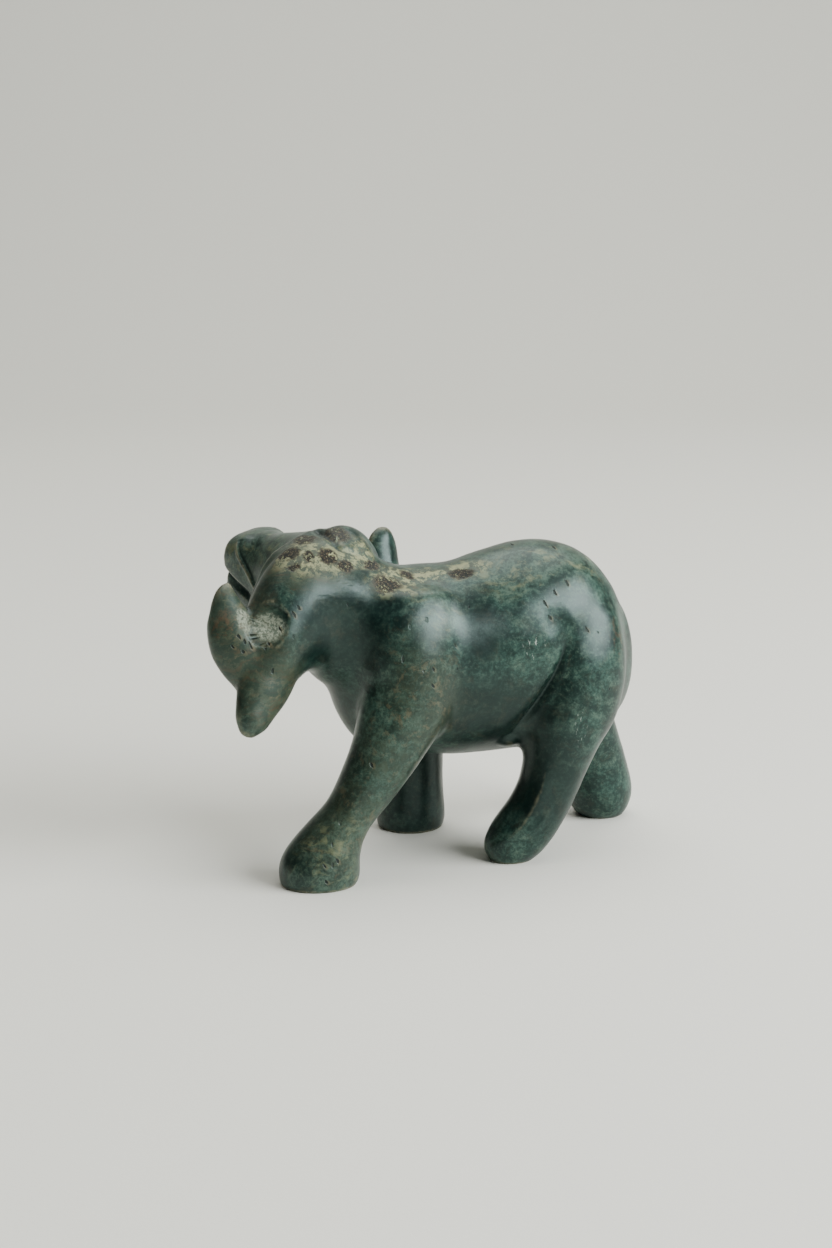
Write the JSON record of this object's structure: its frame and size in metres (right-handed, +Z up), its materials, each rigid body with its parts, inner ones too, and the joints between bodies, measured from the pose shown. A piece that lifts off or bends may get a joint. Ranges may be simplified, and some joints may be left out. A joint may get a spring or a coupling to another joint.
{
  "type": "stone figurine",
  "caption": "Small carved green-stone buffalo figurine, walking with its head turned back to one side, standing on four feet.",
  "frame": {"origin": "on the ground under the middle of the figurine's bounding box", "axes": "+Z up, the animal walks towards -X, its muzzle is turned towards +Y"},
  "size_m": [0.1334, 0.0722, 0.0936],
  "materials": {
    "stone": "polished dark green stone with cream and brown pitted patches"
  },
  "bodies": {
    "root": {"buffalo": "stone"}
  },
  "joints": []
}
